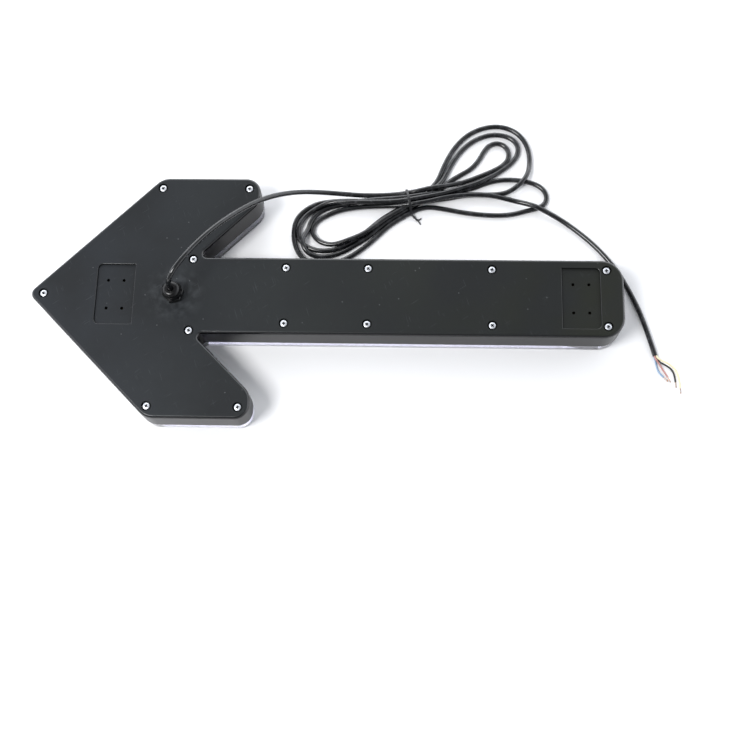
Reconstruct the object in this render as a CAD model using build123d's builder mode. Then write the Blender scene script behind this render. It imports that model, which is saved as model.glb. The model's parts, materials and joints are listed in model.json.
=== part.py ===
"""Directional arrow light board, lying face down on a bench with its supply cable.

The board points towards -X and lies on its clear front cover, so its black back faces up (+Z).
The origin is on the bench, under the middle of the board.
"""
import os
from math import floor, pi, radians, sqrt, tan

from build123d import *

# ---- board outline (mm) ----
board_length = 600.0          # tip to tail end
board_width = 258.0           # across the barbs
tail_width = 82.0
head_length = 232.0           # from the tip's sharp point to the barbs' rear edge
barb_edge = 27.0              # straight rear edge of each barb
tip_radius = 8.0
front_corner_radius = 20.0
rear_outer_radius = 15.0
rear_inner_radius = 19.0
notch_radius = 4.0
tail_corner_radius = 22.0

# ---- back shell and lens cover ----
total_depth = 44.0
lens_depth = 14.0
shell_wall = 3.0
back_thickness = 3.0
back_edge_radius = 3.0
lens_step = 0.8               # the lens stands in from the shell by this much
lens_wall = 2.6
lens_plate = 3.0
seam_chamfer = 0.5
gasket_width = 1.4
gasket_height = 1.2

# ---- cover screws ----
screw_margin = 11.3           # from the outline to a screw's axis
cover_screw_diameter = 3.5
cover_head_diameter = 7.2
cover_head_height = 2.4
cover_drive_width = 0.9
cover_drive_length = 4.0
cover_drive_depth = 1.3
counterbore_diameter = 10.0
counterbore_depth = 2.8
counterbore_wall = 1.8
screw_clearance = 0.5
shell_boss_diameter = 9.0
lens_boss_diameter = 8.0
screw_tip_gap = 2.0           # from a cover screw's tip to the bottom of its hole
barb_screw_drop = 0.6         # the barbs' screws sit this much further in
front_screw_shift = 2.9       # the front corner screws sit this much nearer the slant
notch_screw_ahead = 4.0       # from the notch corner towards the tip
notch_screw_drop = 2.8
end_screw_inset = 17.2
first_stem_screw = 91.4       # behind the notch corner
stem_screw_steps = (0.0, 83.6, 208.8)   # along the tail from the first pair

# ---- mounting pads ----
pad_length = 38.4
pad_width = 64.0
pad_depth = 2.0
pad_rim_radius = 0.7
pad_outer_corner_radius = 5.0
pad_inner_corner_radius = 1.0
head_pad_from_tip = 85.7
tail_pad_from_end = 43.0
mount_pitch_along = 16.0
mount_pitch_across = 30.0
mount_hole_diameter = 3.2
mount_boss_diameter = 8.0
mount_hole_depth = 12.0
insert_outer_diameter = 5.0
insert_bore_diameter = 2.5
insert_length = 6.0
insert_below_floor = 4.0

# ---- lamps and boards ----
board_thickness = 1.6
board_clearance = 9.0         # from the outline to a lamp board's edge
board_boss_gap = 1.5
board_split_gap = 1.5
stem_board_width = 48.0
stem_board_start = 6.2        # behind the notch corner
stem_board_end_gap = 10.0
lamp_pitch = 24.0
lamp_row_pitch = 24.0
lamp_diameter = 19.6
lamp_height = 9.6
lamp_flange = 1.6
lamp_foot_diameter = 8.4
lamp_cavity_diameter = 6.0
lamp_cavity_depth = 3.0
lamp_front_gap = 3.4          # from the lens plate to the lamps
wing_row_shift = 4.0          # the wings' lamp rows stand out from the middle of the band
wing_lamps_per_row = 6
wing_first_lamp = 17.0        # from the long axis to the first lamp of a wing row
led_size = 3.5
led_height = 1.0
post_diameter = 7.0
front_post_inset = 4.0        # from the stem board's front corners
post_hole_diameter = 2.5
board_screw_head_diameter = 5.0
board_screw_head_height = 1.8
board_screw_length = 7.0
resistor_length = 6.4
resistor_width = 3.2
resistor_height = 0.6

# ---- flasher board ----
flasher_length = 54.0
flasher_width = 44.0
flasher_level = 24.0
flasher_post_diameter = 6.0
flasher_post_inset = 4.0
flasher_after_notch = 38.2    # from the notch corner to its left edge
terminal_ways = 4
terminal_pitch = 5.0
terminal_depth = 8.0
terminal_height = 10.0
terminal_screw_diameter = 3.0
capacitor_diameter = 8.0
capacitor_height = 11.5
choke_diameter = 12.0
choke_bore = 5.0
choke_height = 6.0
chip_length = 6.5
chip_width = 6.0
chip_height = 2.3
header_width = 12.0
header_thickness = 2.5
jumper_diameter = 1.4
jumper_inset = 4.0
jumper_first_lane = 8.0
jumper_lane_pitch = 2.6
jumper_rise = 6.0

# ---- cable and gland ----
cable_diameter = 5.2
gland_from_tip = 146.2
gland_thread_diameter = 15.2
gland_hole_clearance = 0.2
gland_across_flats = 19.0
gland_body_height = 5.0
gland_neck_diameter = 12.6
gland_neck_height = 6.0
gland_bore_diameter = 9.0
gland_below_back = 4.5
gland_washer_thickness = 1.2
gland_nut_hex_height = 6.5
gland_dome_height = 4.3
gland_mouth_diameter = 6.4
locknut_height = 4.0
seal_height = 8.0
core_diameter = 1.7
core_copper_diameter = 1.0
core_tip_length = 6.0
core_ring = 1.0               # from the cable's axis to each core's, both ways
core_straight = 2.5           # a free core's straight start
entry_bend_radius = 12.0
entry_level = 24.4
entry_sheath_gap = 12.0       # from the sheath's inner end to the terminal block
hank_height = 16.0
tie_width = 3.2
tie_thickness = 1.0

# ---- places worked out from the sizes above ----
half_length = board_length / 2
half_width = board_width / 2
half_tail = tail_width / 2
root2 = sqrt(2)
tip_x = -half_length - tip_radius * (root2 - 1)          # the tip's sharp point
barb_x = tip_x + head_length                             # the barbs' rear edge
inner_barb_y = half_width - barb_edge
notch_x = barb_x - inner_barb_y + half_tail              # where the barb meets the tail
rear_line_x = notch_x - half_tail                        # the rear slant carried to the axis
seam = lens_depth
shell_depth = total_depth - lens_depth
back_inside = total_depth - back_thickness
gland_x = -half_length + gland_from_tip
head_pad_x = -half_length + head_pad_from_tip
tail_pad_x = half_length - tail_pad_from_end
led_face = lens_plate + lamp_front_gap + lamp_height     # lamp side of the lamp boards
led_back = led_face + board_thickness
flasher_top = flasher_level + board_thickness
stem_start = notch_x + stem_board_start
stem_end = half_length - stem_board_end_gap
flasher_start = notch_x + flasher_after_notch
flasher_x = flasher_start + flasher_length / 2

# cover screws, all the same distance inside the outline
tip_screw_x = tip_x + screw_margin * root2
barb_screw_y = half_width - screw_margin - barb_screw_drop
tail_screw_y = half_tail - screw_margin
corner_screws = [
    (tip_screw_x + barb_screw_y - front_screw_shift, barb_screw_y),
    (barb_x - screw_margin, barb_screw_y),
    (notch_x - notch_screw_ahead, half_tail - notch_screw_drop),
    (half_length - end_screw_inset, tail_screw_y),
]
corner_screws += [(notch_x + first_stem_screw + step, tail_screw_y) for step in stem_screw_steps]
cover_screw_places = [(tip_screw_x, 0.0)]
for place_x, place_y in corner_screws:
    cover_screw_places.append((place_x, place_y))
    cover_screw_places.append((place_x, -place_y))

# lamps: two rows along the tail, two rows along each wing
stem_lamp_columns = floor((stem_end - stem_start) / lamp_pitch)
stem_first_column = (stem_start + stem_end - (stem_lamp_columns - 1) * lamp_pitch) / 2
stem_columns = [stem_first_column + lamp_pitch * index for index in range(stem_lamp_columns)]
stem_lamps = [(x, side * lamp_row_pitch / 2) for x in stem_columns for side in (-1, 1)]
band_line_x = (tip_x + rear_line_x) / 2


def band_place(across, height):
    """A point of the left wing, given from the band's middle line and from the long axis."""
    return (band_line_x + height - across * root2, height)


wing_rows = (wing_row_shift - lamp_row_pitch / 2, wing_row_shift + lamp_row_pitch / 2)
wing_lamps = [
    band_place(across, wing_first_lamp + lamp_pitch / root2 * index)
    for across in wing_rows
    for index in range(wing_lamps_per_row)
]


def wing_gap(index):
    """The middle of the four lamps that follow a wing row's lamp number index."""
    return band_place(wing_row_shift, wing_first_lamp + lamp_pitch / root2 * (index + 0.5))


stem_posts = [(stem_columns[column] + lamp_pitch / 2, 0.0) for column in (3, 7, 11, -2)]
front_post_x = stem_start + front_post_inset
front_post_y = stem_board_width / 2 - front_post_inset
stem_posts += [(front_post_x, side * front_post_y) for side in (-1, 1)]
wing_posts = [wing_gap(1), wing_gap(wing_lamps_per_row - 2)]
board_posts = stem_posts + wing_posts + [(x, -y) for x, y in wing_posts]
flasher_posts = [
    (flasher_x + side_x * (flasher_length / 2 - flasher_post_inset),
     side_y * (flasher_width / 2 - flasher_post_inset))
    for side_x in (-1, 1)
    for side_y in (-1, 1)
]
mount_holes = [
    (pad_x + side_x * mount_pitch_along / 2, side_y * mount_pitch_across / 2)
    for pad_x in (head_pad_x, tail_pad_x)
    for side_x in (-1, 1)
    for side_y in (-1, 1)
]

# ---- outline ----
upper_corners = [
    ((tip_x + half_width, half_width), front_corner_radius),
    ((barb_x, half_width), rear_outer_radius),
    ((barb_x, inner_barb_y), rear_inner_radius),
    ((notch_x, half_tail), notch_radius),
    ((half_length, half_tail), tail_corner_radius),
]
corner_points = [(tip_x, 0.0)]
corner_radii = [tip_radius]
for point, corner_radius in upper_corners:
    corner_points.append(point)
    corner_radii.append(corner_radius)
for point, corner_radius in reversed(upper_corners):
    corner_points.append((point[0], -point[1]))
    corner_radii.append(corner_radius)

with BuildSketch() as board_outline:
    with BuildLine():
        FilletPolyline(*corner_points, radius=corner_radii, close=True)
    make_face()


def arrow(inset):
    """The board's outline, moved inwards by inset."""
    with BuildSketch() as shape:
        add(board_outline.sketch)
        if inset > 0:
            offset(amount=-inset)
    return shape.sketch


def pad_sketch(pad_x, outer_side):
    """A pad's recess, with its large corners on the side that points away from the middle."""
    with BuildSketch() as shape:
        with Locations((pad_x, 0)):
            Rectangle(pad_length, pad_width)
        groups = shape.vertices().group_by(Axis.X)
        outer = groups[-1] if outer_side > 0 else groups[0]
        inner = groups[0] if outer_side > 0 else groups[-1]
        fillet(outer, pad_outer_corner_radius)
        fillet(inner, pad_inner_corner_radius)
    return shape.sketch


pads = (pad_sketch(head_pad_x, -1), pad_sketch(tail_pad_x, 1))

# ---- back shell: one moulded tray with its bosses, posts and sunk pads ----
with BuildPart() as back_shell:
    with BuildSketch(Plane.XY.offset(seam)):
        add(arrow(0))
    extrude(amount=shell_depth)
    fillet(back_shell.edges().group_by(Axis.Z)[-1], back_edge_radius)
    chamfer(back_shell.edges().group_by(Axis.Z)[0], seam_chamfer)
    with BuildSketch(Plane.XY.offset(seam)):
        add(arrow(shell_wall))
    extrude(amount=shell_depth - back_thickness, mode=Mode.SUBTRACT)
    with BuildSketch(Plane.XY.offset(seam)):
        with Locations(*cover_screw_places):
            Circle(shell_boss_diameter / 2)
    extrude(amount=shell_depth - back_thickness)
    with BuildSketch(Plane.XY.offset(total_depth - counterbore_depth - counterbore_wall)):
        with Locations(*cover_screw_places):
            Circle(counterbore_diameter / 2 + counterbore_wall)
    extrude(amount=counterbore_wall)
    with BuildSketch(Plane.XY.offset(led_back)):
        with Locations(*board_posts):
            Circle(post_diameter / 2)
    extrude(amount=back_inside - led_back)
    with BuildSketch(Plane.XY.offset(flasher_top)):
        with Locations(*flasher_posts):
            Circle(flasher_post_diameter / 2)
    extrude(amount=back_inside - flasher_top)
    with BuildSketch(Plane.XY.offset(back_inside - pad_depth)):
        for pad in pads:
            add(pad)
        offset(amount=back_thickness)
    extrude(amount=pad_depth)
    with BuildSketch(Plane.XY.offset(total_depth - pad_depth - mount_hole_depth)):
        with Locations(*mount_holes):
            Circle(mount_boss_diameter / 2)
    extrude(amount=mount_hole_depth - back_thickness)
    with BuildSketch(Plane.XY.offset(total_depth - pad_depth)):
        for pad in pads:
            add(pad)
    extrude(amount=pad_depth, mode=Mode.SUBTRACT)
    pad_rims = [
        edge
        for edge in back_shell.edges().filter_by_position(Axis.Z, total_depth, total_depth)
        if abs(edge.center().Y) < pad_width / 2 + 1
        and min(abs(edge.center().X - x) for x in (head_pad_x, tail_pad_x)) < pad_length / 2 + 1
    ]
    fillet(pad_rims, pad_rim_radius)
    with Locations(*[(x, y, total_depth - pad_depth) for x, y in mount_holes]):
        Hole(mount_hole_diameter / 2, depth=mount_hole_depth)
    with BuildSketch(Plane.XY.offset(total_depth - pad_depth - mount_hole_depth)):
        with Locations(*mount_holes):
            Circle(insert_outer_diameter / 2)
    extrude(amount=mount_hole_depth - insert_below_floor, mode=Mode.SUBTRACT)
    with Locations(*[(x, y, total_depth) for x, y in cover_screw_places]):
        CounterBoreHole(
            (cover_screw_diameter + screw_clearance) / 2,
            counterbore_diameter / 2,
            counterbore_depth,
            depth=shell_depth,
        )
    with BuildSketch(Plane.XY.offset(led_back)):
        with Locations(*board_posts):
            Circle(post_hole_diameter / 2)
    extrude(amount=board_screw_length, mode=Mode.SUBTRACT)
    with BuildSketch(Plane.XY.offset(flasher_top)):
        with Locations(*flasher_posts):
            Circle(post_hole_diameter / 2)
    extrude(amount=board_screw_length, mode=Mode.SUBTRACT)
    with Locations((gland_x, 0, total_depth)):
        Hole((gland_thread_diameter + gland_hole_clearance) / 2, depth=back_thickness)
    with BuildSketch(Plane.XY.offset(seam)):
        add(arrow((shell_wall - gasket_width) / 2))
        add(arrow((shell_wall + gasket_width) / 2), mode=Mode.SUBTRACT)
    extrude(amount=gasket_height, mode=Mode.SUBTRACT)
back_shell.part.label = "back_shell"

# ---- gasket in the shell's rim ----
with BuildPart() as rim_gasket:
    with BuildSketch(Plane.XY.offset(seam)):
        add(arrow((shell_wall - gasket_width) / 2))
        add(arrow((shell_wall + gasket_width) / 2), mode=Mode.SUBTRACT)
    extrude(amount=gasket_height)
rim_gasket.part.label = "rim_gasket"

# ---- clear lens cover ----
with BuildPart() as lens_cover:
    with BuildSketch():
        add(arrow(lens_step))
    extrude(amount=lens_depth)
    chamfer(lens_cover.edges().group_by(Axis.Z)[0], seam_chamfer)
    with BuildSketch(Plane.XY.offset(lens_plate)):
        add(arrow(lens_step + lens_wall))
    extrude(amount=lens_depth - lens_plate, mode=Mode.SUBTRACT)
    with BuildSketch(Plane.XY.offset(lens_plate)):
        with Locations(*cover_screw_places):
            Circle(lens_boss_diameter / 2)
    extrude(amount=lens_depth - lens_plate)
    with Locations(*[(x, y, lens_depth) for x, y in cover_screw_places]):
        Hole(cover_screw_diameter / 2, depth=lens_depth - lens_plate)
lens_cover.part.label = "lens_cover"

# ---- cover screws ----
cover_seat = total_depth - counterbore_depth
with BuildPart() as cover_screws:
    with Locations(*[(x, y, cover_seat) for x, y in cover_screw_places]):
        Cylinder(
            cover_head_diameter / 2,
            cover_head_height,
            align=(Align.CENTER, Align.CENTER, Align.MIN),
        )
        Cylinder(
            cover_screw_diameter / 2,
            cover_seat - lens_plate - screw_tip_gap,
            align=(Align.CENTER, Align.CENTER, Align.MAX),
        )
    fillet(cover_screws.edges().group_by(Axis.Z)[-1], cover_head_height * 0.45)
    with Locations(*[(x, y, cover_seat + cover_head_height) for x, y in cover_screw_places]):
        Box(
            cover_drive_length,
            cover_drive_width,
            cover_drive_depth,
            align=(Align.CENTER, Align.CENTER, Align.MAX),
            mode=Mode.SUBTRACT,
        )
        Box(
            cover_drive_width,
            cover_drive_length,
            cover_drive_depth,
            align=(Align.CENTER, Align.CENTER, Align.MAX),
            mode=Mode.SUBTRACT,
        )
cover_screws.part.label = "cover_screws"

# ---- threaded inserts behind the pads ----
with BuildPart() as mount_inserts:
    with BuildSketch(Plane.XY.offset(total_depth - pad_depth - insert_below_floor)):
        with Locations(*mount_holes):
            Circle(insert_outer_diameter / 2)
            Circle(insert_bore_diameter / 2, mode=Mode.SUBTRACT)
    extrude(amount=-insert_length)
mount_inserts.part.label = "mount_inserts"


def wing_board_sketch(side):
    """A wing's lamp board: the slanted band, clear of the walls, the axis and the bosses."""
    low = board_split_gap / 2
    top = half_width - board_clearance
    front_x = tip_x + board_clearance * root2
    rear_x = rear_line_x - board_clearance * root2
    right = barb_x - board_clearance
    corners = [
        (front_x + low, side * low),
        (front_x + top, side * top),
        (right, side * top),
        (right, side * (right - rear_x)),
        (rear_x + low, side * low),
    ]
    with BuildSketch() as shape:
        with BuildLine():
            Polyline(*corners, close=True)
        make_face()
        with Locations(*cover_screw_places):
            Circle(shell_boss_diameter / 2 + board_boss_gap, mode=Mode.SUBTRACT)
        with Locations(*board_posts):
            Circle(post_hole_diameter / 2, mode=Mode.SUBTRACT)
    return shape.sketch


# ---- lamp boards ----
with BuildPart() as stem_lamp_board:
    with BuildSketch(Plane.XY.offset(led_face)):
        with Locations(((stem_start + stem_end) / 2, 0)):
            Rectangle(stem_end - stem_start, stem_board_width)
        with Locations(*stem_posts):
            Circle(post_hole_diameter / 2, mode=Mode.SUBTRACT)
    extrude(amount=board_thickness)
stem_lamp_board.part.label = "stem_lamp_board"

with BuildPart() as left_wing_lamp_board:
    with BuildSketch(Plane.XY.offset(led_face)):
        add(wing_board_sketch(1))
    extrude(amount=board_thickness)
left_wing_lamp_board.part.label = "left_wing_lamp_board"

with BuildPart() as right_wing_lamp_board:
    with BuildSketch(Plane.XY.offset(led_face)):
        add(wing_board_sketch(-1))
    extrude(amount=board_thickness)
right_wing_lamp_board.part.label = "right_wing_lamp_board"

# ---- lamps: an emitter and its collimator optic at every place of a board ----
lamp_groups = {
    "stem": stem_lamps,
    "left_wing": wing_lamps,
    "right_wing": [(x, -y) for x, y in wing_lamps],
}
lamp_parts = []
for group_name, lamp_places in lamp_groups.items():
    with BuildPart() as emitters:
        with Locations(*[(x, y, led_face) for x, y in lamp_places]):
            Box(led_size, led_size, led_height, align=(Align.CENTER, Align.CENTER, Align.MAX))
    emitters.part.label = group_name + "_emitters"
    lamp_parts.append(emitters)
    with BuildPart() as single_optic:
        with BuildSketch(Plane.XZ):
            with BuildLine():
                Polyline(
                    (lamp_foot_diameter / 2, 0),
                    (lamp_diameter / 2, lamp_flange - lamp_height),
                    (lamp_diameter / 2, -lamp_height),
                    (0, -lamp_height),
                    (0, -lamp_cavity_depth),
                    (lamp_cavity_diameter / 2, -lamp_cavity_depth),
                    (lamp_cavity_diameter / 2, 0),
                    close=True,
                )
            make_face()
        revolve(axis=Axis.Z)
    with BuildPart() as optics:
        with Locations(*[(x, y, led_face) for x, y in lamp_places]):
            add(single_optic.part)
    optics.part.label = group_name + "_optics"
    lamp_parts.append(optics)

# ---- ballast resistors on the backs of the lamp boards ----
resistor_places = [
    (x + lamp_pitch / 2, side * lamp_row_pitch / 2)
    for x in stem_columns[5:-1:2]
    for side in (-1, 1)
]
resistor_places += [(x, side * y) for x, y in wing_lamps[1:5] for side in (-1, 1)]
with BuildPart() as ballast_resistors:
    with Locations(*[(x, y, led_back) for x, y in resistor_places]):
        Box(
            resistor_length,
            resistor_width,
            resistor_height,
            align=(Align.CENTER, Align.CENTER, Align.MIN),
        )
ballast_resistors.part.label = "ballast_resistors"

# ---- screws that hold the boards to their posts ----
with BuildPart() as board_screws:
    with Locations(*[(x, y, led_face) for x, y in board_posts]):
        Cylinder(
            board_screw_head_diameter / 2,
            board_screw_head_height,
            align=(Align.CENTER, Align.CENTER, Align.MAX),
        )
        Cylinder(
            post_hole_diameter / 2,
            board_screw_length,
            align=(Align.CENTER, Align.CENTER, Align.MIN),
        )
    with Locations(*[(x, y, flasher_level) for x, y in flasher_posts]):
        Cylinder(
            board_screw_head_diameter / 2,
            board_screw_head_height,
            align=(Align.CENTER, Align.CENTER, Align.MAX),
        )
        Cylinder(
            post_hole_diameter / 2,
            board_screw_length,
            align=(Align.CENTER, Align.CENTER, Align.MIN),
        )
board_screws.part.label = "board_screws"

# ---- flasher board and what it carries ----
with BuildPart() as flasher_board:
    with BuildSketch(Plane.XY.offset(flasher_level)):
        with Locations((flasher_x, 0)):
            Rectangle(flasher_length, flasher_width)
        with Locations(*flasher_posts):
            Circle(post_hole_diameter / 2, mode=Mode.SUBTRACT)
    extrude(amount=board_thickness)
flasher_board.part.label = "flasher_board"

terminal_x = flasher_start + terminal_depth / 2 + 1.0
terminal_width = terminal_ways * terminal_pitch
terminal_rows = [terminal_pitch * (way - (terminal_ways - 1) / 2) for way in range(terminal_ways)]
wire_entry_height = flasher_top + terminal_height * 0.4
with BuildPart() as terminal_block:
    with Locations((terminal_x, 0, flasher_top)):
        Box(
            terminal_depth,
            terminal_width,
            terminal_height,
            align=(Align.CENTER, Align.CENTER, Align.MIN),
        )
    with Locations(*[(terminal_x, y, flasher_top + terminal_height) for y in terminal_rows]):
        Hole(terminal_screw_diameter / 2, depth=terminal_height * 0.35)
    with BuildSketch(Plane.YZ.offset(terminal_x - terminal_depth / 2)):
        with Locations(*[(y, wire_entry_height) for y in terminal_rows]):
            Circle(core_diameter / 2)
    extrude(amount=terminal_depth * 0.5, mode=Mode.SUBTRACT)
terminal_block.part.label = "terminal_block"

with BuildPart() as terminal_screws:
    with Locations(*[(terminal_x, y, flasher_top + terminal_height * 0.65) for y in terminal_rows]):
        Cylinder(
            terminal_screw_diameter / 2,
            terminal_height * 0.3,
            align=(Align.CENTER, Align.CENTER, Align.MIN),
        )
terminal_screws.part.label = "terminal_screws"

capacitor_place = (flasher_x + flasher_length * 0.16, flasher_width * 0.18)
choke_place = (flasher_x + flasher_length * 0.16, -flasher_width * 0.2)
with BuildPart() as smoothing_capacitor:
    with Locations((*capacitor_place, flasher_top)):
        Cylinder(
            capacitor_diameter / 2,
            capacitor_height,
            align=(Align.CENTER, Align.CENTER, Align.MIN),
        )
    fillet(smoothing_capacitor.edges().group_by(Axis.Z)[-1], 0.8)
smoothing_capacitor.part.label = "smoothing_capacitor"

with BuildPart() as choke_coil:
    with BuildSketch(Plane.XY.offset(flasher_top)):
        with Locations(choke_place):
            Circle(choke_diameter / 2)
            Circle(choke_bore / 2, mode=Mode.SUBTRACT)
    extrude(amount=choke_height)
choke_coil.part.label = "choke_coil"

chip_places = [(flasher_x - flasher_length * 0.1, side * flasher_width * 0.22) for side in (-1, 1)]
chip_places.append((flasher_x - flasher_length * 0.1, 0.0))
with BuildPart() as driver_chips:
    with Locations(*[(x, y, flasher_top) for x, y in chip_places]):
        Box(chip_length, chip_width, chip_height, align=(Align.CENTER, Align.CENTER, Align.MIN))
driver_chips.part.label = "driver_chips"

with BuildPart() as stacking_header:
    with Locations((flasher_x, 0, led_back)):
        Box(
            header_thickness,
            header_width,
            flasher_level - led_back,
            align=(Align.CENTER, Align.CENTER, Align.MIN),
        )
stacking_header.part.label = "stacking_header"

# ---- jumpers from the stem board to the wing boards ----
jumper_start = stem_start + jumper_inset
jumper_end = rear_line_x - board_clearance * root2 - jumper_inset / 2
jumper_parts = []
for jumper_name, side in (("left_wing_jumper", 1), ("right_wing_jumper", -1)):
    with BuildPart() as jumper:
        for lane in (0.0, jumper_lane_pitch):
            y = side * (jumper_first_lane + lane)
            low = (jumper_start, y, led_back)
            up = (jumper_start, y, led_back + jumper_rise)
            over = (jumper_end, y, led_back + jumper_rise)
            down = (jumper_end, y, led_back)
            with BuildLine() as jumper_path:
                FilletPolyline(low, up, over, down, radius=jumper_rise * 0.6)
            with BuildSketch(Plane(origin=low, z_dir=(0, 0, 1))):
                Circle(jumper_diameter / 2)
            sweep(path=jumper_path.wire())
    jumper.part.label = jumper_name
    jumper_parts.append(jumper)

# ---- cable gland, from the bench side of the back to its mouth ----
washer_top = total_depth + gland_washer_thickness
body_top = washer_top + gland_body_height
neck_top = body_top + gland_neck_height
gland_mouth = body_top + gland_nut_hex_height + gland_dome_height
hexagon_radius = gland_across_flats / sqrt(3)
with BuildPart() as gland_washer:
    with BuildSketch(Plane.XY.offset(total_depth)):
        with Locations((gland_x, 0)):
            Circle(gland_across_flats / 2)
            Circle(gland_thread_diameter / 2, mode=Mode.SUBTRACT)
    extrude(amount=gland_washer_thickness)
gland_washer.part.label = "gland_washer"

with BuildPart() as gland_body:
    with BuildSketch(Plane.XY.offset(washer_top)):
        with Locations((gland_x, 0)):
            RegularPolygon(hexagon_radius, 6, rotation=15)
    extrude(amount=gland_body_height)
    chamfer(gland_body.edges().group_by(Axis.Z)[-1], 0.6)
    with BuildSketch(Plane.XY.offset(washer_top)):
        with Locations((gland_x, 0)):
            Circle(gland_thread_diameter / 2)
    extrude(amount=-(gland_washer_thickness + back_thickness + gland_below_back))
    with BuildSketch(Plane.XY.offset(body_top)):
        with Locations((gland_x, 0)):
            Circle(gland_neck_diameter / 2)
    extrude(amount=gland_neck_height)
    with Locations((gland_x, 0, neck_top)):
        Hole(gland_bore_diameter / 2)
gland_body.part.label = "gland_body"

with BuildPart() as gland_locknut:
    with BuildSketch(Plane.XY.offset(back_inside - locknut_height)):
        with Locations((gland_x, 0)):
            RegularPolygon(hexagon_radius, 6)
            Circle(gland_thread_diameter / 2, mode=Mode.SUBTRACT)
    extrude(amount=locknut_height)
gland_locknut.part.label = "gland_locknut"

with BuildPart() as gland_seal:
    with BuildSketch(Plane.XY.offset(neck_top - seal_height)):
        with Locations((gland_x, 0)):
            Circle(gland_bore_diameter / 2)
            Circle(cable_diameter / 2, mode=Mode.SUBTRACT)
    extrude(amount=seal_height)
gland_seal.part.label = "gland_seal"

dome_start = body_top + gland_nut_hex_height
with BuildPart() as gland_dome_nut:
    with BuildSketch(Plane.XY.offset(body_top)):
        with Locations((gland_x, 0)):
            RegularPolygon(hexagon_radius * 0.95, 6, rotation=35)
    extrude(amount=gland_nut_hex_height)
    with BuildSketch(Plane.XZ.offset(0)):
        with BuildLine():
            nut_radius = gland_across_flats * 0.95 / 2
            mouth_radius = gland_mouth_diameter / 2 + 1.2
            Line((gland_x, dome_start), (gland_x + nut_radius, dome_start))
            TangentArc(
                (gland_x + nut_radius, dome_start),
                (gland_x + mouth_radius, gland_mouth),
                tangent=(0, 1),
            )
            Line((gland_x + mouth_radius, gland_mouth), (gland_x, gland_mouth))
            Line((gland_x, gland_mouth), (gland_x, dome_start))
        make_face()
    revolve(axis=Axis((gland_x, 0, 0), (0, 0, 1)))
    with BuildSketch(Plane.XY.offset(body_top)):
        with Locations((gland_x, 0)):
            Circle(gland_neck_diameter / 2)
    extrude(amount=gland_neck_height, mode=Mode.SUBTRACT)
    with Locations((gland_x, 0, gland_mouth)):
        Hole(gland_mouth_diameter / 2)
gland_dome_nut.part.label = "gland_dome_nut"

# ---- cable inside the housing ----
sheath_end_x = terminal_x - terminal_depth / 2 - entry_sheath_gap
with BuildPart() as cable_entry:
    with BuildLine() as entry_path:
        FilletPolyline(
            (gland_x, 0, gland_mouth),
            (gland_x, 0, entry_level),
            (sheath_end_x, 0, entry_level),
            radius=entry_bend_radius,
        )
    with BuildSketch(Plane(origin=(gland_x, 0, gland_mouth), z_dir=(0, 0, -1))):
        Circle(cable_diameter / 2)
    sweep(path=entry_path.wire())
cable_entry.part.label = "cable_entry"

core_quarters = ((-1, -1), (-1, 1), (1, -1), (1, 1))
with BuildPart() as entry_cores:
    for way, (side_y, side_z) in enumerate(core_quarters):
        start = (sheath_end_x, side_y * core_ring, entry_level + side_z * core_ring)
        straight = (sheath_end_x + 2.0, start[1], start[2])
        turned = (terminal_x - terminal_depth / 2 - 2.0, terminal_rows[way], wire_entry_height)
        end = (terminal_x, terminal_rows[way], wire_entry_height)
        with BuildLine() as core_path:
            FilletPolyline(start, straight, turned, end, radius=core_diameter)
        with BuildSketch(Plane(origin=start, z_dir=(1, 0, 0))):
            Circle(core_diameter / 2)
        sweep(path=core_path.wire())
entry_cores.part.label = "entry_cores"

# ---- free cable: chosen points, each corner rounded as far as its runs allow ----
rest = cable_diameter / 2
lead_points = [
    (-153.8, 0, 61), (-153.8, 0, 74), (-149, 6.5, 84.5), (-140, 19.5, 86.5), (-127, 38, 84),
    (-110, 59, 78.5), (-91, 79, 69), (-72, 97, 57.5), (-52, 111.5, 43), (-31, 120.5, 27.5),
    (-10, 124.5, 14.5), (10, 126.5, 6), (30, 127, rest), (50, 127, rest),
]
lead_points[0] = (gland_x, 0, gland_mouth)
lead_points[1] = (gland_x, 0, gland_mouth + 13)
tail_points = [
    (229, 114.5, rest), (243, 104.2, rest), (259, 92, rest), (275.5, 77.5, rest), (290, 61.5, rest),
    (303, 43.5, rest), (312.5, 25, rest), (321, 6, rest), (327.5, -13, rest), (332.5, -30.5, rest),
    (337, -47, rest),
]


def corner_list(points):
    """The radius at each corner of a route: 0.45 of the shorter run over tan of half the turn."""
    result = []
    for before, here, after in zip(points, points[1:], points[2:]):
        run_in = Vector(*here) - Vector(*before)
        run_out = Vector(*after) - Vector(*here)
        turn = radians(run_in.get_angle(run_out))
        result.append(0.45 * min(run_in.length, run_out.length) / tan(turn / 2))
    return result


def check_tube(name, tube, path_length, diameter):
    """Print how a tube's volume compares with its section times its length."""
    ideal = pi * diameter**2 / 4 * path_length
    print(f"{name}: length {path_length:.1f}, volume ratio {tube.volume / ideal:.4f}")


free_tubes = {"cable_lead": lead_points, "cable_tail": tail_points}
tube_parts = []
for tube_name, tube_points in free_tubes.items():
    tube_radii = corner_list(tube_points)
    print(tube_name, "radii", [round(value, 1) for value in tube_radii])
    with BuildPart() as tube:
        with BuildLine() as tube_path:
            FilletPolyline(*tube_points, radius=tube_radii)
        first_run = Vector(*tube_points[1]) - Vector(*tube_points[0])
        with BuildSketch(Plane(origin=tube_points[0], z_dir=first_run)):
            Circle(cable_diameter / 2)
        sweep(path=tube_path.wire())
    check_tube(tube_name, tube.part, tube_path.wire().length, cable_diameter)
    tube.part.label = tube_name
    tube_parts.append(tube)

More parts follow.
